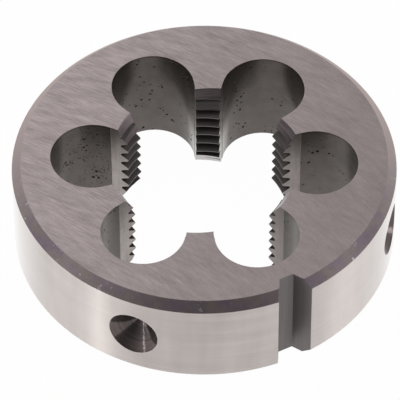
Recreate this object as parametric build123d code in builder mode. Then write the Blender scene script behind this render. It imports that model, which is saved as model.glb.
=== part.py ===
from build123d import *
import math
import os

# Round die for cutting a 3/4 inch parallel pipe thread, in the 55 x 16 mm body size.
#
# One piece of hardened tool steel: a ground disc with six chip holes bored round the
# threaded bore.  What is left between the holes are the six lands that carry the teeth.
# All lengths are in millimetres and all angles in degrees.
#
# Frame: origin in the middle of the bottom face, +Z along the thread axis towards the
# face that meets the work, and the locating groove in the rim on the +X side.

# --- body ---
body_diameter = 55.0
thickness = 16.0
edge_chamfer = 1.27

# --- thread: Whitworth form, 14 turns to the inch, right-handed ---
pitch = 1.814
major_diameter = 26.441
thread_angle = 55.0
cut_back = 1 / 6  # share of the sharp V's height that is taken off at root and crest
crest_height = 1.7  # where the line of the tooth crests passes the +X side
spare_turns = 2  # turns of the thread's cutting groove past each face of the body

# --- lead-in cones that start the cut, ground on each land at both ends of the bore ---
lead_half_angle = 30.0
front_lead_margin = 0.63  # from the root of the thread to the cone's mouth, at mid-land
back_lead_margin = 0.93
lead_relief = 1.15  # how far aside of the thread axis the axis of each cone stands

# --- chip holes, and the ground flanks of the lands that they leave ---
land_count = 6
chip_hole_diameter = 12.0
rim_wall = 5.5  # left between a chip hole and the rim
flank_angle = 7.5  # between each flank and the middle line of its land
flank_cut = 0.05  # depth of the flank grinding below the wall of the chip hole

# --- locating groove in the rim ---
groove_angle = 60.0
groove_floor_width = 2.15
groove_depth = 2.8

# --- conical seats in the rim for the screws of the die stock ---
seat_diameter = 7.76
seat_cone_angle = 90.0
seat_angle = 49.0  # from the groove to the nearest seat, and from -X to the others


def half_tan(full_angle):
    """Run over rise of one side of a symmetrical V or cone."""
    return math.tan(math.radians(full_angle / 2))


# The thread's section.  The sharp V is cut back at root and crest, and rounded there by
# an arc that runs into both sides.  Each arc is made in three flats that touch it.
sharp_height = pitch / (2 * half_tan(thread_angle))
thread_depth = (1 - 2 * cut_back) * sharp_height
rounding = cut_back * sharp_height / (1 / math.sin(math.radians(thread_angle / 2)) - 1)
flat_turn = math.radians(90 - thread_angle / 2) / 4
corner_reach = rounding / math.cos(flat_turn)
flat_half = corner_reach * math.sin(flat_turn)
shoulder_half = corner_reach * math.sin(3 * flat_turn)
shoulder_depth = rounding - corner_reach * math.cos(3 * flat_turn)

body_radius = body_diameter / 2
root_radius = major_diameter / 2
bore_radius = root_radius - thread_depth
front_lead_radius = root_radius + front_lead_margin
back_lead_radius = root_radius + back_lead_margin
lead_end_radius = bore_radius - lead_relief  # where the cones end, inside the open bore
front_lead_depth = (front_lead_radius - lead_end_radius) / half_tan(2 * lead_half_angle)
back_lead_depth = (back_lead_radius - lead_end_radius) / half_tan(2 * lead_half_angle)

# The groove of the thread lies half a pitch below the line of the crests.
thread_start = crest_height - pitch / 2 - spare_turns * pitch
thread_length = thickness + 2 * spare_turns * pitch

# One flank opens each side of a chip hole towards the bore.  It is a plane that lies
# flank_cut outside the hole's wall, and it ends where it runs alongside that wall.
hole_centre = body_radius - rim_wall - chip_hole_diameter / 2
half_sector = 180 / land_count  # from the middle of a land to that of a chip hole
opening_angle = math.radians(half_sector - flank_angle)
flank_offset = chip_hole_diameter / 2 + flank_cut
flank_apex = hole_centre - flank_offset / math.sin(opening_angle)
flank_end_x = hole_centre - flank_offset * math.sin(opening_angle)
flank_end_y = flank_offset * math.cos(opening_angle)

seat_mouth_radius = seat_diameter / 2
seat_depth = seat_mouth_radius / half_tan(seat_cone_angle)

with BuildPart() as die:
    # Turned blank: a chamfered disc, bored through.
    with BuildSketch(Plane.XZ) as half_section:
        Polygon(
            (bore_radius, 0),
            (body_radius - edge_chamfer, 0),
            (body_radius, edge_chamfer),
            (body_radius, thickness - edge_chamfer),
            (body_radius - edge_chamfer, thickness),
            (bore_radius, thickness),
            align=None,
        )
    revolve(axis=Axis.Z)

    # Chip holes, bored right through.
    with BuildSketch() as chip_holes:
        with PolarLocations(hole_centre, land_count):
            Circle(chip_hole_diameter / 2)
    extrude(amount=thickness, mode=Mode.SUBTRACT)

    # Ground flanks of the lands.
    with BuildSketch() as land_flanks:
        with PolarLocations(0, land_count):
            Polygon(
                (flank_apex, 0),
                (flank_end_x, flank_end_y),
                (hole_centre, 0),
                (flank_end_x, -flank_end_y),
                align=None,
            )
    extrude(amount=thickness, mode=Mode.SUBTRACT)

    # Lead-in cones, one on each land at either end, each a sector from chip hole to chip
    # hole.  Its axis stands aside of the thread axis, away from the edge that cuts, so that
    # the cone clears the work behind that edge.  The front end cuts with the
    # counterclockwise edge of a land and the back end with the other.
    with Locations((0, 0, thickness - front_lead_depth)):
        with PolarLocations(lead_relief, land_count, start_angle=half_sector - 90):
            Cone(
                lead_end_radius,
                front_lead_radius,
                front_lead_depth,
                arc_size=2 * half_sector,
                rotation=(0, 0, 90 - half_sector),
                align=None,
                mode=Mode.SUBTRACT,
            )
    with PolarLocations(lead_relief, land_count, start_angle=half_sector + 90):
        Cone(
            back_lead_radius,
            lead_end_radius,
            back_lead_depth,
            arc_size=2 * half_sector,
            rotation=(0, 0, -90 - half_sector),
            align=None,
            mode=Mode.SUBTRACT,
        )

    # Thread: one groove along a helix, drawn one pitch into the open bore.  It starts and
    # ends outside the body, and its first point lies in the chip hole on the +X side,
    # clear of every land.
    with BuildLine() as helix:
        Helix(pitch, thread_length, bore_radius, center=(0, 0, thread_start))
    with BuildSketch(Plane((0, 0, thread_start), x_dir=(1, 0, 0), z_dir=(0, -1, 0))):
        with BuildLine():
            Polyline(
                (root_radius, -flat_half),
                (root_radius - shoulder_depth, -shoulder_half),
                (bore_radius + shoulder_depth, shoulder_half - pitch / 2),
                (bore_radius, flat_half - pitch / 2),
                (bore_radius - pitch, flat_half - pitch / 2),
                (bore_radius - pitch, pitch / 2 - flat_half),
                (bore_radius, pitch / 2 - flat_half),
                (bore_radius + shoulder_depth, pitch / 2 - shoulder_half),
                (root_radius - shoulder_depth, shoulder_half),
                (root_radius, flat_half),
                close=True,
            )
        make_face()
    sweep(path=helix.line, is_frenet=True, mode=Mode.SUBTRACT)

    # Locating groove: a V with a flat floor, along the whole rim.  It is drawn out to
    # twice the radius of the body, clear of the rim.
    groove_mouth_width = groove_floor_width + 2 * (body_radius + groove_depth) * half_tan(groove_angle)
    with BuildSketch() as rim_groove:
        Polygon(
            (body_radius - groove_depth, -groove_floor_width / 2),
            (body_radius - groove_depth, groove_floor_width / 2),
            (body_diameter, groove_mouth_width / 2),
            (body_diameter, -groove_mouth_width / 2),
            align=None,
        )
    extrude(amount=thickness, mode=Mode.SUBTRACT)

    # Conical seats for the stock's screws, sunk into the rim halfway up.  Each cone is
    # drawn to twice its depth, so that its mouth follows the curve of the rim.
    for direction in (seat_angle, 180 - seat_angle, 180 + seat_angle, -seat_angle):
        seat_plane = Plane.XY.offset(thickness / 2).rotated((0, 0, direction))
        with BuildSketch(seat_plane):
            Polygon(
                (body_radius - seat_depth, 0),
                (body_radius + seat_depth, 0),
                (body_radius + seat_depth, 2 * seat_mouth_radius),
                align=None,
            )
        revolve(axis=Axis(seat_plane.origin, seat_plane.x_dir), mode=Mode.SUBTRACT)

os.makedirs("parts", exist_ok=True)
die.part.label = "die"
export_step(die.part, "parts/die.step")
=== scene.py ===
import math

import bpy
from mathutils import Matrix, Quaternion, Vector


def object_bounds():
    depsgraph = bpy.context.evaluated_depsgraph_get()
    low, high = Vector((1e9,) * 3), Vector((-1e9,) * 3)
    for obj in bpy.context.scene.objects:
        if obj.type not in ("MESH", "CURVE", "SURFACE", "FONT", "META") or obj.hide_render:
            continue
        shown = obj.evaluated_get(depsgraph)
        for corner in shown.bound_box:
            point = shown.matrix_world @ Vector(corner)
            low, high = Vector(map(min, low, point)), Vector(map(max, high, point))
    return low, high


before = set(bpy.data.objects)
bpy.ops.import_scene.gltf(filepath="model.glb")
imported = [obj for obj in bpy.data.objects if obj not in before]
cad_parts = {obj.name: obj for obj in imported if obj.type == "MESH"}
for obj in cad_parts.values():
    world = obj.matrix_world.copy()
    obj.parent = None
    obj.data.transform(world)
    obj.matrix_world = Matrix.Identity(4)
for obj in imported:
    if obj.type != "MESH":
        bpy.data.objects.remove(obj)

cad_low, cad_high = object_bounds()


# --- The die: one piece of hardened tool steel ---
# It is turned, bored and threaded soft, then hardened, which leaves it dark all over.
# Last, the faces, the rim, the flanks of the lands and the lead-in cones are ground.
# Each facet of the solid gets the finish of the surface that it lies on.

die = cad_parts["die"]

millimetre = 0.001
body_radius = cad_high.y             # the groove shortens the box on the X side
thickness = cad_high.z
rim_chamfer = 1.27 * millimetre
groove_floor = 24.7 * millimetre     # from the thread axis to the floor of the locating groove
groove_half_width = 2.7 * millimetre
land_count = 6
sector = 2 * math.pi / land_count
hole_centre = 16.0 * millimetre      # from the thread axis to the axis of a chip hole
hole_radius = 6.0 * millimetre
flank_reach = 14.8 * millimetre      # from the thread axis to where the flanks of the lands end
flank_turn = 0.5                     # most that the normal of a flank may point outward
lead_slope = math.tan(math.radians(30))
front_mouth = 13.85 * millimetre     # radius of the lead-in cones where they meet the faces
back_mouth = 14.15 * millimetre
lead_aside = 1.15 * millimetre       # from the thread axis to the axis of each lead-in cone
hair = 0.03 * millimetre             # slack when a facet's place is matched to a surface
lean = 0.02                          # slack when its direction is matched


def from_hole(x, y):
    """Distance of a point from the axis of the nearest chip hole."""
    turn = round(math.atan2(y, x) / sector) * sector
    return math.hypot(x - hole_centre * math.cos(turn), y - hole_centre * math.sin(turn))


def on_lead(x, y, depth, mouth, side):
    """Whether a point this deep below a face lies on the lead-in cone of its land."""
    land = (math.floor(math.atan2(y, x) / sector) + 0.5) * sector
    axis = land + side * math.pi / 2
    reach = math.hypot(x - lead_aside * math.cos(axis), y - lead_aside * math.sin(axis))
    return abs(reach - mouth + depth * lead_slope) < 2 * hair


def finish_of(centre, normal):
    """Name of the finish on the facet with this middle and normal."""
    x, y, z = centre
    radius = math.hypot(x, y)
    outward = (normal.x * x + normal.y * y) / radius
    upright = abs(normal.z) < lean
    from_face = min(z, thickness - z)
    if from_face < hair and abs(normal.z) > 1 - lean:
        return "ground_face"
    if radius > flank_reach:
        if upright and outward > 1 - lean and radius > body_radius - 2 * hair:
            return "ground_rim"
        if upright and x > groove_floor - hair and abs(y) < groove_half_width:
            return "groove"
        if from_face < rim_chamfer and radius > body_radius - rim_chamfer - hair:
            return "chamfer"
        if upright and from_hole(x, y) < hole_radius + hair:
            return "chip_hole"
        return "seat"
    if upright and from_hole(x, y) < hole_radius + hair / 2:
        return "chip_hole"
    if upright and abs(outward) < flank_turn:
        return "land_flank"
    if on_lead(x, y, thickness - z, front_mouth, -1) or on_lead(x, y, z, back_mouth, 1):
        return "lead"
    return "thread"


finish_names = (
    "ground_face",
    "ground_rim",
    "chamfer",
    "chip_hole",
    "land_flank",
    "lead",
    "thread",
    "groove",
    "seat",
)
finishes = {name: bpy.data.materials.new(name) for name in finish_names}
die.data.materials.clear()
for name in finish_names:
    die.data.materials.append(finishes[name])
for facet in die.data.polygons:
    facet.material_index = finish_names.index(finish_of(facet.center, facet.normal))


# --- Where a point of the surface lies, in millimetres ---
# Distance is from an upright axis, which is that of the thread unless another is given.
# Arc is the way round it, Height is up from the bottom face, and Place is the point.

def new_group(name, inputs, outputs):
    """Empty shader group with these named sockets."""
    group = bpy.data.node_groups.new(name, "ShaderNodeTree")
    for direction, sockets in (("INPUT", inputs), ("OUTPUT", outputs)):
        for label, kind in sockets.items():
            socket_type = "NodeSocket" + kind
            group.interface.new_socket(name=label, in_out=direction, socket_type=socket_type)
    return group, group.nodes.new("NodeGroupInput"), group.nodes.new("NodeGroupOutput")


def put(tree, socket, value):
    """Links a socket to another, or gives it a plain value."""
    if isinstance(value, bpy.types.NodeSocket):
        tree.links.new(value, socket)
    else:
        socket.default_value = value


def maths(tree, operation, *values):
    """Result of a sum on numbers or sockets."""
    node = tree.nodes.new("ShaderNodeMath")
    node.operation = operation
    for place, value in enumerate(values):
        put(tree, node.inputs[place], value)
    return node.outputs[0]


def times(tree, first, second):
    """Product of two numbers or sockets."""
    return maths(tree, "MULTIPLY", first, second)


def split(tree, vector):
    """The X, Y and Z of a vector."""
    node = tree.nodes.new("ShaderNodeSeparateXYZ")
    tree.links.new(vector, node.inputs[0])
    return node.outputs


polar, polar_in, polar_out = new_group(
    "place_round_axis",
    {"Axis X": "Float", "Axis Y": "Float"},
    {"Distance": "Float", "Arc": "Float", "Height": "Float", "Place": "Vector"},
)
coordinates = polar.nodes.new("ShaderNodeTexCoord")
in_millimetres = polar.nodes.new("ShaderNodeVectorMath")
in_millimetres.operation = "SCALE"
in_millimetres.inputs["Scale"].default_value = 1 / millimetre
polar.links.new(coordinates.outputs["Object"], in_millimetres.inputs[0])
point = split(polar, in_millimetres.outputs[0])
from_x = maths(polar, "SUBTRACT", point["X"], polar_in.outputs["Axis X"])
from_y = maths(polar, "SUBTRACT", point["Y"], polar_in.outputs["Axis Y"])
squares = maths(polar, "ADD", times(polar, from_x, from_x), times(polar, from_y, from_y))
distance = maths(polar, "SQRT", squares)
arc = times(polar, maths(polar, "ARCTAN2", from_y, from_x), distance)
polar.links.new(distance, polar_out.inputs["Distance"])
polar.links.new(arc, polar_out.inputs["Arc"])
polar.links.new(point["Z"], polar_out.inputs["Height"])
polar.links.new(in_millimetres.outputs[0], polar_out.inputs["Place"])


# --- Tool marks: the fine parallel lines that grinding, turning and boring leave ---
# Across is the place at right angles to the lines and Along the place on them, both in
# millimetres.  Fineness is in lines to the millimetre, and Length is that of a line.

broad_fineness = 0.23                # share of the finest lines' own
scratch_fineness = 0.6
broad_layer = 7.0                    # levels in the noise, where the finest lines are at zero
scratch_layer = 19.0
usual_marks = (0.3, 0.7)             # range that Marks seldom leaves


def noise(tree, place, scale, detail=2.0, roughness=0.5):
    """Cloudy values round one half."""
    node = tree.nodes.new("ShaderNodeTexNoise")
    node.inputs["Scale"].default_value = scale
    node.inputs["Detail"].default_value = detail
    node.inputs["Roughness"].default_value = roughness
    tree.links.new(place, node.inputs["Vector"])
    return node.outputs["Fac"]


def ramp(tree, value, start, end=(0.0, 1.0)):
    """Value carried over from the start range to the end range, and held at its ends."""
    node = tree.nodes.new("ShaderNodeMapRange")
    put(tree, node.inputs["Value"], value)
    for label, number in zip(("From Min", "From Max", "To Min", "To Max"), (*start, *end)):
        put(tree, node.inputs[label], number)
    return node.outputs["Result"]


def vector_of(tree, x, y, z=0.0):
    """Vector made of three numbers or sockets."""
    node = tree.nodes.new("ShaderNodeCombineXYZ")
    for place, value in enumerate((x, y, z)):
        put(tree, node.inputs[place], value)
    return node.outputs[0]


def weighed(tree, *parts):
    """Sum of values, each times its own weight."""
    total = times(tree, *parts[0])
    for value, weight in parts[1:]:
        total = maths(tree, "ADD", total, times(tree, value, weight))
    return total


tool_marks, marks_in, marks_out = new_group(
    "tool_marks",
    {"Across": "Float", "Along": "Float", "Fineness": "Float", "Length": "Float"},
    {"Marks": "Float", "Scratches": "Float"},
)
across = times(tool_marks, marks_in.outputs["Across"], marks_in.outputs["Fineness"])
along = maths(tool_marks, "DIVIDE", marks_in.outputs["Along"], marks_in.outputs["Length"])
fine_place = vector_of(tool_marks, across, along)
fine = noise(tool_marks, fine_place, scale=1.0, detail=3.0, roughness=0.6)
broad_across = times(tool_marks, across, broad_fineness)
broad_place = vector_of(tool_marks, broad_across, along, broad_layer)
broad = noise(tool_marks, broad_place, scale=0.8)
scratch_across = times(tool_marks, across, scratch_fineness)
scratch_place = vector_of(tool_marks, scratch_across, along, scratch_layer)
scratch = noise(tool_marks, scratch_place, scale=1.0, detail=1.0)
tool_marks.links.new(weighed(tool_marks, (fine, 0.6), (broad, 0.4)), marks_out.inputs["Marks"])
tool_marks.links.new(ramp(tool_marks, scratch, (0.66, 0.76)), marks_out.inputs["Scratches"])


# --- Worn edges: where handling has rubbed a corner bright ---
# Worn is one on the rubbed part of the corner.  Rounded is the normal of a corner that
# is eased by Width, in metres.  Evenness near one half leaves the line broken.

wear_starts = 0.01                   # turn of the eased normal where the rubbing starts
wear_full = 0.12                     # and where it is complete
patch_fineness = 1.7                 # patches of wear to the millimetre
most_worn = 0.75                     # level of the patches that is always rubbed


def dot(tree, first, second):
    """Dot product of two vectors."""
    node = tree.nodes.new("ShaderNodeVectorMath")
    node.operation = "DOT_PRODUCT"
    put(tree, node.inputs[0], first)
    put(tree, node.inputs[1], second)
    return node.outputs["Value"]


edge_wear, wear_in, wear_out = new_group(
    "edge_wear",
    {"Width": "Float", "Place": "Vector", "Evenness": "Float"},
    {"Worn": "Float", "Rounded": "Vector"},
)
eased = edge_wear.nodes.new("ShaderNodeBevel")
eased.samples = 6
edge_wear.links.new(wear_in.outputs["Width"], eased.inputs["Radius"])
flat_surface = edge_wear.nodes.new("ShaderNodeNewGeometry")
likeness = dot(edge_wear, eased.outputs[0], flat_surface.outputs["Normal"])
turned = maths(edge_wear, "SUBTRACT", 1.0, likeness)
patchy = noise(edge_wear, wear_in.outputs["Place"], scale=patch_fineness, detail=4.0, roughness=0.65)
rubbed = ramp(edge_wear, patchy, (wear_in.outputs["Evenness"], most_worn))
worn = times(edge_wear, ramp(edge_wear, turned, (wear_starts, wear_full)), rubbed)
edge_wear.links.new(worn, wear_out.inputs["Worn"])
edge_wear.links.new(eased.outputs[0], wear_out.inputs["Rounded"])


# --- The two ground faces ---
# A wide cup wheel ground them flat after hardening, so the marks are long arcs about an
# axis well outside the die.  They are deepest where the wheel ran on, far from the groove.
# The faces are painted paler on that side and darker on the other, as painted light.

wheel_axis_x = 43.0                  # millimetres from the thread axis
wheel_axis_y = -106.6
# This way is also the side towards which the faces are painted paler, as painted light.
run_on_and_lit_side = (-0.82, -0.57, 0.0)         # the way to the side where the wheel ran on
face_dark = (0.240, 0.202, 0.202, 1.0)
face_pale = (0.400, 0.346, 0.341, 1.0)


def start_material(name, metallic=1.0):
    """Empties a finish and gives its tree, with a metal shader on the output."""
    material = finishes[name]
    material.use_nodes = True
    tree = material.node_tree
    tree.nodes.clear()
    shader = tree.nodes.new("ShaderNodeBsdfPrincipled")
    shader.inputs["Metallic"].default_value = metallic
    output = tree.nodes.new("ShaderNodeOutputMaterial")
    tree.links.new(shader.outputs[0], output.inputs[0])
    return tree, shader


def place_group(tree, group, **values):
    """Outputs of a shader group whose inputs get these values."""
    node = tree.nodes.new("ShaderNodeGroup")
    node.node_tree = group
    for label, value in values.items():
        put(tree, node.inputs[label.replace("_", " ")], value)
    return node.outputs


def marks_on(tree, across, along, fineness, length):
    """Tool marks that lie across one place and along another."""
    return place_group(
        tree, tool_marks, Across=across, Along=along, Fineness=fineness, Length=length
    )


def wear_on(tree, place, width, evenness):
    """Worn edges this wide, in millimetres."""
    width_in_metres = width * millimetre
    return place_group(
        tree, edge_wear, Width=width_in_metres, Place=place["Place"], Evenness=evenness
    )


def mix_colours(tree, share, first, second):
    """Blend of two colours, all of the second where the share is one."""
    colour_a, colour_b, colour_out = 6, 7, 2     # the node's sockets for colours
    node = tree.nodes.new("ShaderNodeMix")
    node.data_type = "RGBA"
    put(tree, node.inputs["Factor"], share)
    put(tree, node.inputs[colour_a], first)
    put(tree, node.inputs[colour_b], second)
    return node.outputs[colour_out]


def gloss(tree, marks, dull, bright):
    """Roughness that goes from dull to bright as the tool marks get paler."""
    return ramp(tree, marks["Marks"], usual_marks, (dull, bright))


def relief(tree, height, depth, wear):
    """Normal of a surface with relief this deep, in millimetres, and its corners eased."""
    node = tree.nodes.new("ShaderNodeBump")
    node.inputs["Distance"].default_value = depth * millimetre
    tree.links.new(height, node.inputs["Height"])
    tree.links.new(wear["Rounded"], node.inputs["Normal"])
    return node.outputs[0]


def dress(tree, shader, colour, roughness, normal):
    """Puts a finish on its metal shader."""
    tree.links.new(colour, shader.inputs["Base Color"])
    tree.links.new(roughness, shader.inputs["Roughness"])
    tree.links.new(normal, shader.inputs["Normal"])


tree, shader = start_material("ground_face")
place = place_group(tree, polar, Axis_X=wheel_axis_x, Axis_Y=wheel_axis_y)
marks = marks_on(tree, place["Distance"], place["Arc"], fineness=4.6, length=2.6)
wear = wear_on(tree, place, width=0.12, evenness=0.38)
cloud = noise(tree, place["Place"], scale=0.14, detail=3.0, roughness=0.55)
grain = noise(tree, place["Place"], scale=3.2, roughness=0.6)
towards_run_on_and_lit_side = dot(tree, place["Place"], run_on_and_lit_side)    # millimetres past the thread axis
depth_of_marks = ramp(tree, towards_run_on_and_lit_side, (-20.0, 12.0), (0.45, 1.0))
line = times(tree, maths(tree, "SUBTRACT", marks["Marks"], 0.5), depth_of_marks)
# Painted light: the face is painted paler on the run-on side and darker on the other.
paler = ramp(tree, towards_run_on_and_lit_side, (-22.0, 22.0), (-0.12, 0.15))
tone = weighed(
    tree,
    (line, 2.8),
    (cloud, 0.4),
    (grain, 0.5),
    (marks["Scratches"], 0.25),
    (wear["Worn"], 0.6),
    (paler, 1.0),
)
colour = mix_colours(tree, tone, face_dark, face_pale)
roughness = gloss(tree, marks, dull=0.36, bright=0.28)
normal = relief(tree, line, depth=0.03, wear=wear)
dress(tree, shader, colour, roughness, normal)


# --- The ground rim ---
# The rim was ground round on an arbor, so its marks run round it, level with the faces.
# They are fine, and spread what the rim mirrors up and down only.

rim_dark = (0.60, 0.55, 0.525, 1.0)
rim_pale = (0.72, 0.66, 0.635, 1.0)
rim_painted_glint = (0.96, 0.94, 0.93, 1.0)
band_fineness = 0.25                 # soft upright bands to the millimetre round the rim
band_change = 0.04                   # and up it, so that they are nearly straight


def painted_glint_at_slant(tree, start, most=1.0):
    """Share of painted glint, which grows over the start range as a surface turns edge-on."""
    slant = tree.nodes.new("ShaderNodeLayerWeight")
    slant.inputs["Blend"].default_value = 0.5
    return ramp(tree, slant.outputs["Facing"], start, (0.0, most))


tree, shader = start_material("ground_rim")
place = place_group(tree, polar)
marks = marks_on(tree, place["Height"], place["Arc"], fineness=4.0, length=16.0)
wear = wear_on(tree, place, width=0.12, evenness=0.3)
band_arc = times(tree, place["Arc"], band_fineness)
band_height = times(tree, place["Height"], band_change)
bands = noise(tree, vector_of(tree, band_arc, band_height), scale=1.0, detail=3.0)
streaks = ramp(tree, weighed(tree, (marks["Marks"], 0.4), (bands, 0.6)), (0.35, 0.65))
tone = weighed(tree, (streaks, 1.0), (wear["Worn"], 0.9))
colour = mix_colours(tree, tone, rim_dark, rim_pale)
# Painted glint: the rim is painted paler where it turns edge-on to the eye.
colour = mix_colours(tree, painted_glint_at_slant(tree, (0.62, 0.92)), colour, rim_painted_glint)
roughness = gloss(tree, marks, dull=0.44, bright=0.40)
normal = relief(tree, marks["Marks"], depth=0.002, wear=wear)
dress(tree, shader, colour, roughness, normal)
round_the_axis = tree.nodes.new("ShaderNodeTangent")
round_the_axis.direction_type = "RADIAL"
round_the_axis.axis = "Z"
tree.links.new(round_the_axis.outputs[0], shader.inputs["Tangent"])
shader.inputs["Anisotropic"].default_value = 0.95
shader.inputs["Anisotropic Rotation"].default_value = 0.25


# --- Chamfers of the rim ---
# Turned before hardening and never ground.  The scale on them is purple in some places
# and brown in others, and small nicks from handling show the bare steel.

scale_purple = (0.200, 0.158, 0.188, 1.0)
scale_brown = (0.215, 0.180, 0.172, 1.0)
scale_thick = (0.08, 0.066, 0.072, 1.0)
scale_painted_glint = (0.49, 0.425, 0.41, 1.0)
scale_sheen = (0.71, 0.64, 0.62, 1.0)        # tint of what it mirrors edge-on
bare_steel = (0.50, 0.46, 0.46, 1.0)

tree, shader = start_material("chamfer", metallic=0.85)
shader.inputs["Specular Tint"].default_value = scale_sheen
place = place_group(tree, polar)
marks = marks_on(tree, place["Height"], place["Arc"], fineness=6.0, length=20.0)
wear = wear_on(tree, place, width=0.14, evenness=0.40)
patches = ramp(tree, noise(tree, place["Place"], scale=0.4, detail=4.0, roughness=0.6), (0.42, 0.58))
thin = noise(tree, place["Place"], scale=0.9, detail=4.0, roughness=0.6)
thin = ramp(tree, thin, (0.3, 0.7), (0.75, 1.0))
knocked = ramp(tree, noise(tree, place["Place"], scale=0.23, detail=1.0), (0.55, 0.65))
nicks = ramp(tree, noise(tree, place["Place"], scale=1.5, roughness=0.6), (0.64, 0.70), (0.0, 0.9))
bright = maths(tree, "MAXIMUM", times(tree, nicks, knocked), wear["Worn"])
colour = mix_colours(tree, patches, scale_purple, scale_brown)
colour = mix_colours(tree, thin, scale_thick, colour)
# Painted glint: the chamfer is painted paler where it turns edge-on to the eye.
colour = mix_colours(tree, painted_glint_at_slant(tree, (0.28, 0.70), most=0.85), colour, scale_painted_glint)
colour = mix_colours(tree, bright, colour, bare_steel)
roughness = gloss(tree, marks, dull=0.34, bright=0.26)
normal = relief(tree, marks["Marks"], depth=0.008, wear=wear)
dress(tree, shader, colour, roughness, normal)


# --- Locating groove ---
# Planed along the rim before hardening, with fine lines from end to end.  It keeps the
# dull grey scale, rubbed through along its edges.

groove_dark = (0.150, 0.135, 0.132, 1.0)
groove_pale = (0.195, 0.178, 0.174, 1.0)

tree, shader = start_material("groove", metallic=0.6)
place = place_group(tree, polar)
marks = marks_on(tree, place["Arc"], place["Height"], fineness=4.0, length=12.0)
wear = wear_on(tree, place, width=0.10, evenness=0.42)
colour = mix_colours(tree, ramp(tree, marks["Marks"], usual_marks), groove_dark, groove_pale)
colour = mix_colours(tree, times(tree, wear["Worn"], 0.6), colour, bare_steel)
roughness = gloss(tree, marks, dull=0.46, bright=0.38)
normal = relief(tree, marks["Marks"], depth=0.010, wear=wear)
dress(tree, shader, colour, roughness, normal)


# --- Conical seats for the clamping screws ---
# Cut with a pointed drill before hardening.  The drill left rings round the axis of
# each seat, and a ray of light shows across them.

seat_turn = math.radians(49)         # between the axis of each seat and the X axis
seat_dark = (0.060, 0.054, 0.054, 1.0)
seat_pale = (0.150, 0.117, 0.113, 1.0)

tree, shader = start_material("seat", metallic=0.85)
place = place_group(tree, polar)
point = split(tree, place["Place"])
seat_x = times(tree, maths(tree, "SIGN", point["X"]), math.cos(seat_turn))
seat_y = times(tree, maths(tree, "SIGN", point["Y"]), math.sin(seat_turn))
along_axis = dot(tree, place["Place"], vector_of(tree, seat_x, seat_y))
marks = marks_on(tree, along_axis, place["Height"], fineness=5.0, length=30.0)
wear = wear_on(tree, place, width=0.10, evenness=0.45)
colour = mix_colours(tree, ramp(tree, marks["Marks"], (0.35, 0.68)), seat_dark, seat_pale)
colour = mix_colours(tree, times(tree, wear["Worn"], 0.4), colour, bare_steel)
roughness = gloss(tree, marks, dull=0.20, bright=0.12)
normal = relief(tree, marks["Marks"], depth=0.020, wear=wear)
dress(tree, shader, colour, roughness, normal)


# --- Walls of the chip holes ---
# Bored before hardening: smooth and dark, with clusters of small pits where the scale
# has lifted.  The scale is thick and reddish at the upper edge.  The wall is painted
# paler towards the bottom as painted light, and a painted glint lightens it low down
# where it is seen at a slant.

hole_dark = (0.074, 0.064, 0.058, 1.0)
hole_pale = (0.158, 0.140, 0.130, 1.0)
hole_lip = (0.050, 0.034, 0.033, 1.0)
pit_black = (0.008, 0.008, 0.008, 1.0)
steel_painted_glint = (0.62, 0.585, 0.56, 1.0)
worst_turn = math.radians(240)       # from the groove to the chip hole with the most pits
worst_x = hole_centre / millimetre * math.cos(worst_turn)    # millimetres, as in the groups
worst_y = hole_centre / millimetre * math.sin(worst_turn)


def pits_in(tree, place, scale, size, softness):
    """Round pits, one in each cell of a pattern, whose size is a share of the cell."""
    cells = tree.nodes.new("ShaderNodeTexVoronoi")
    cells.inputs["Scale"].default_value = scale
    tree.links.new(place, cells.inputs["Vector"])
    return ramp(tree, maths(tree, "SUBTRACT", size, cells.outputs["Distance"]), (0.0, softness))


tree, shader = start_material("chip_hole", metallic=0.9)
place = place_group(tree, polar)
marks = marks_on(tree, place["Height"], place["Arc"], fineness=1.6, length=9.0)
wear = wear_on(tree, place, width=0.08, evenness=0.5)
pit_size = ramp(tree, noise(tree, place["Place"], scale=1.1), (0.3, 0.7), (0.14, 0.36))
pits = pits_in(tree, place["Place"], scale=1.2, size=pit_size, softness=0.08)
crowded = ramp(tree, noise(tree, place["Place"], scale=0.28), (0.52, 0.60))
speck_size = ramp(tree, noise(tree, place["Place"], scale=0.9), (0.35, 0.65), (0.10, 0.38))
specks = pits_in(tree, place["Place"], scale=2.6, size=speck_size, softness=0.06)
from_worst = place_group(tree, polar, Axis_X=worst_x, Axis_Y=worst_y)["Distance"]
speckled = ramp(tree, from_worst, (6.5, 9.0), (0.65, 0.0))
pits = maths(tree, "MAXIMUM", times(tree, pits, crowded), times(tree, specks, speckled))
clouds = noise(tree, place["Place"], scale=0.5, detail=3.0, roughness=0.6)
clouds = ramp(tree, clouds, (0.3, 0.7), (0.0, 0.3))
# Painted light: the wall is painted paler towards the bottom.
painted_light_low_down = ramp(tree, place["Height"], (1.0, 15.0), (0.55, 0.0))
lip = ramp(tree, place["Height"], (15.55, 15.85), (0.0, 0.7))
# Painted glint: the wall is painted paler where seen at a slant, mostly low down.
glint = painted_glint_at_slant(tree, (0.62, 0.95), most=0.85)
glint = times(tree, glint, ramp(tree, place["Height"], (4.0, 11.0), (1.0, 0.1)))
colour = mix_colours(tree, maths(tree, "ADD", clouds, painted_light_low_down), hole_dark, hole_pale)
colour = mix_colours(tree, lip, colour, hole_lip)
colour = mix_colours(tree, glint, colour, steel_painted_glint)
colour = mix_colours(tree, pits, colour, pit_black)
height = maths(tree, "SUBTRACT", times(tree, marks["Marks"], 0.05), pits)
roughness = gloss(tree, marks, dull=0.33, bright=0.27)
normal = relief(tree, height, depth=0.06, wear=wear)
dress(tree, shader, colour, roughness, normal)


# --- Flanks of the lands ---
# Ground bright after hardening, to sharpen the teeth.  The marks run up and down.  The
# lands far from the groove are drawn paler than those near it.  All are painted darker
# near the front face, as painted shade, and a painted glint lightens them edge-on.

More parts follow.
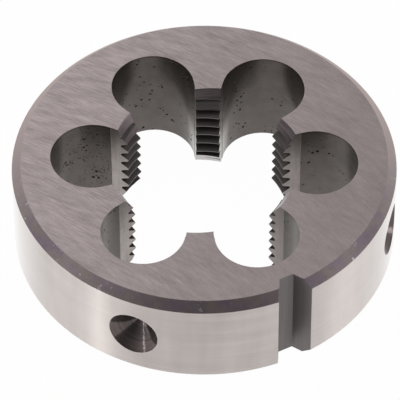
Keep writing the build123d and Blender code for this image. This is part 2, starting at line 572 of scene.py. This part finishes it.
# The flanks of the lands on this side are drawn paler, and those towards the groove darker.
paler_flanks_way = (-0.84, -0.54, 0.0)       # the way towards the lands that were ground brightest
flank_dark = (0.215, 0.188, 0.180, 1.0)
flank_pale = (0.440, 0.402, 0.375, 1.0)
flank_painted_glint = (0.78, 0.75, 0.72, 1.0)

tree, shader = start_material("land_flank")
place = place_group(tree, polar)
marks = marks_on(tree, place["Distance"], place["Height"], fineness=4.0, length=8.0)
wear = wear_on(tree, place, width=0.08, evenness=0.4)
cloud = noise(tree, place["Place"], scale=0.5, detail=3.0, roughness=0.6)
streaks = ramp(tree, weighed(tree, (marks["Marks"], 0.5), (cloud, 0.5)), (0.2, 0.8))
# Painted shade: the flanks are painted darker towards the front face.
painted_shade_near_front = ramp(tree, place["Height"], (9.0, 15.0))
near_groove = ramp(tree, dot(tree, place["Place"], paler_flanks_way), (-12.0, 6.0), (1.0, 0.0))
tone = weighed(
    tree,
    (streaks, 1.0),
    (wear["Worn"], 0.8),
    (painted_shade_near_front, -0.25),
    (near_groove, -0.45),
)
colour = mix_colours(tree, tone, flank_dark, flank_pale)
# Painted glint: the flanks are painted paler where they turn edge-on to the eye.
colour = mix_colours(tree, painted_glint_at_slant(tree, (0.86, 1.0), most=0.9), colour, flank_painted_glint)
roughness = gloss(tree, marks, dull=0.34, bright=0.26)
normal = relief(tree, marks["Marks"], depth=0.010, wear=wear)
dress(tree, shader, colour, roughness, normal)


# --- Lead-in cones ---
# Relief-ground on each land after hardening, with coarse lines round the bore.  The
# lands on one side of the bore are painted brighter than those on the other, as painted
# light, and a painted glint lightens them where they turn edge-on.

lit_side_of_bore = (-0.34, -0.94, 0.0)    # the way towards the brighter lands
lead_dark = (0.120, 0.100, 0.102, 1.0)
lead_pale = (0.320, 0.266, 0.280, 1.0)
lead_painted_glint = (0.74, 0.71, 0.71, 1.0)

tree, shader = start_material("lead", metallic=0.85)
place = place_group(tree, polar)
marks = marks_on(tree, place["Height"], place["Arc"], fineness=3.2, length=5.0)
wear = wear_on(tree, place, width=0.06, evenness=0.35)
streaks = ramp(tree, marks["Marks"], (0.35, 0.65))
# Painted light: the cones on the lit side of the bore are painted brighter, the others darker.
brighter = ramp(tree, dot(tree, place["Place"], lit_side_of_bore), (-12.0, 12.0), (-0.4, 0.4))
tone = weighed(tree, (streaks, 1.0), (wear["Worn"], 0.5), (brighter, 1.0))
colour = mix_colours(tree, tone, lead_dark, lead_pale)
# Painted glint: the cones are painted paler where they turn edge-on to the eye.
colour = mix_colours(tree, painted_glint_at_slant(tree, (0.6, 0.9), most=0.9), colour, lead_painted_glint)
roughness = gloss(tree, marks, dull=0.42, bright=0.34)
normal = relief(tree, marks["Marks"], depth=0.025, wear=wear)
dress(tree, shader, colour, roughness, normal)


# --- The teeth ---
# Cut before hardening, and nearly black between the crests.  The crests are paler: a
# painted highlight along them, and rubbing by the work.

root_black = (0.048, 0.040, 0.038, 1.0)
side_black = (0.088, 0.077, 0.076, 1.0)
crest_highlight_grey = (0.160, 0.144, 0.145, 1.0)
# The paler crest band, a painted highlight with some rubbing, runs between these radii.
crest_outer = 12.20                  # where the rubbing begins, in millimetres from the axis
crest_inner = 12.07

tree, shader = start_material("thread", metallic=0.8)
place = place_group(tree, polar)
marks = marks_on(tree, place["Height"], place["Arc"], fineness=6.0, length=4.0)
wear = wear_on(tree, place, width=0.06, evenness=0.35)
# Painted highlight: the crests are painted paler towards the innermost radius.
crest_highlight_and_wear = ramp(tree, place["Distance"], (crest_outer, crest_inner))
colour = mix_colours(tree, ramp(tree, marks["Marks"], usual_marks), root_black, side_black)
colour = mix_colours(tree, crest_highlight_and_wear, colour, crest_highlight_grey)
colour = mix_colours(tree, times(tree, wear["Worn"], 0.35), colour, bare_steel)
roughness = gloss(tree, marks, dull=0.40, bright=0.32)
normal = relief(tree, marks["Marks"], depth=0.008, wear=wear)
dress(tree, shader, colour, roughness, normal)


# --- Studio: pale floor ---
# A white sheet that reaches past the view on every side.  It shows only a faint shadow
# of the die.

half_floor = 1.5
floor_white = (0.85, 0.85, 0.85, 1.0)
floor_glow = 0.98                    # share of the sheet's own white in what the camera sees

scene = bpy.context.scene
scene.view_settings.view_transform = "Standard"

floor_mesh = bpy.data.meshes.new("floor")
corner_ways = ((-1, -1), (1, -1), (1, 1), (-1, 1))
corners = [(x * half_floor, y * half_floor, 0.0) for x, y in corner_ways]
floor_mesh.from_pydata(corners, [], [(0, 1, 2, 3)])
floor = bpy.data.objects.new("floor", floor_mesh)
floor.location.z = -hair
scene.collection.objects.link(floor)

floor_material = bpy.data.materials.new("floor")
floor_material.use_nodes = True
tree = floor_material.node_tree
tree.nodes.clear()
output = tree.nodes.new("ShaderNodeOutputMaterial")
diffuse = tree.nodes.new("ShaderNodeBsdfDiffuse")
diffuse.inputs["Color"].default_value = floor_white
glow = tree.nodes.new("ShaderNodeEmission")
seen = tree.nodes.new("ShaderNodeLightPath")
mirrored = maths(tree, "MAXIMUM", seen.outputs["Is Glossy Ray"], seen.outputs["Is Transmission Ray"])
straight = maths(tree, "MAXIMUM", seen.outputs["Is Camera Ray"], mirrored)
blend = tree.nodes.new("ShaderNodeMixShader")
tree.links.new(times(tree, straight, floor_glow), blend.inputs[0])
tree.links.new(diffuse.outputs[0], blend.inputs[1])
tree.links.new(glow.outputs[0], blend.inputs[2])
tree.links.new(blend.outputs[0], output.inputs[0])
floor.data.materials.append(floor_material)


# --- Studio: white surroundings ---
# Bright near the horizon and a little dimmer overhead.  One broad side of the room is
# dark, which shades the parts of the rim and the walls of the holes that face it.

dark_side = (0.873, -0.455, 0.174)   # the way towards the dark side
dark_level = 0.16
overhead_level = 0.72

world = bpy.data.worlds.new("studio")
scene.world = world
world.use_nodes = True
tree = world.node_tree
tree.nodes.clear()
output = tree.nodes.new("ShaderNodeOutputWorld")
room = tree.nodes.new("ShaderNodeBackground")
backdrop = tree.nodes.new("ShaderNodeBackground")
backdrop.inputs["Color"].default_value = (1.0, 1.0, 1.0, 1.0)
way = tree.nodes.new("ShaderNodeTexCoord").outputs["Generated"]
rise = ramp(tree, split(tree, way)["Z"], (0.0, 0.9), (1.0, overhead_level))
dimming = ramp(tree, dot(tree, way, dark_side), (0.35, 1.0), (1.0, dark_level))
level = times(tree, rise, dimming)
tree.links.new(vector_of(tree, level, level, level), room.inputs["Color"])
seen = tree.nodes.new("ShaderNodeLightPath")
blend = tree.nodes.new("ShaderNodeMixShader")
tree.links.new(seen.outputs["Is Camera Ray"], blend.inputs[0])
tree.links.new(room.outputs[0], blend.inputs[1])
tree.links.new(backdrop.outputs[0], blend.inputs[2])
tree.links.new(blend.outputs[0], output.inputs[0])


# --- Studio: four soft lamps ---
# A large one over the far left lights the front face.  A tall one low on the left and a
# broad one low on the right light the rim, and a small one on the left puts the ray of
# light into a seat.  Left and right are as the camera sees them.

die_middle = Vector((0.0, 0.0, thickness / 2))


def softbox(name, turn, rise, reach, size, power):
    """Soft lamp that faces the die; turn and rise are its direction in degrees."""
    lamp = bpy.data.lights.new(name, "AREA")
    lamp.shape = "RECTANGLE"
    lamp.size, lamp.size_y = size
    lamp.energy = power
    flat = reach * math.cos(math.radians(rise))
    x = flat * math.cos(math.radians(turn))
    y = flat * math.sin(math.radians(turn))
    holder = bpy.data.objects.new(name, lamp)
    holder.location = (x, y, reach * math.sin(math.radians(rise)))
    holder.rotation_mode = "QUATERNION"
    holder.rotation_quaternion = (die_middle - holder.location).to_track_quat("-Z", "Y")
    scene.collection.objects.link(holder)


softbox("far_left_lamp", turn=174.0, rise=46.0, reach=0.45, size=(0.22, 0.22), power=0.08)
softbox("left_lamp", turn=-80.0, rise=10.0, reach=0.5, size=(0.05, 0.16), power=0.27)
softbox("low_left_lamp", turn=-100.0, rise=18.0, reach=0.5, size=(0.03, 0.03), power=0.05)
softbox("right_lamp", turn=47.0, rise=10.0, reach=0.5, size=(0.12, 0.16), power=0.18)


# --- Camera ---
# It looks down at the front face from above and a little aside of the groove.  The lens
# is a long one, so lines that go away from it hardly close in.

camera_place = Vector((0.34193, -0.17800, 0.44898))
camera_aim = Vector((-0.00029, -0.00055, 0.00717))
camera_roll = -0.0048                # radians

camera_data = bpy.data.cameras.new("camera")
camera_data.sensor_width = 36.0
camera_data.lens = 365.66
camera_data.clip_start = 0.05
camera = bpy.data.objects.new("camera", camera_data)
camera.location = camera_place
camera.rotation_mode = "QUATERNION"
looking_down = (camera_aim - camera_place).to_track_quat("-Z", "Y")
camera.rotation_quaternion = looking_down @ Quaternion((0, 0, 1), camera_roll)
scene.collection.objects.link(camera)
scene.camera = camera
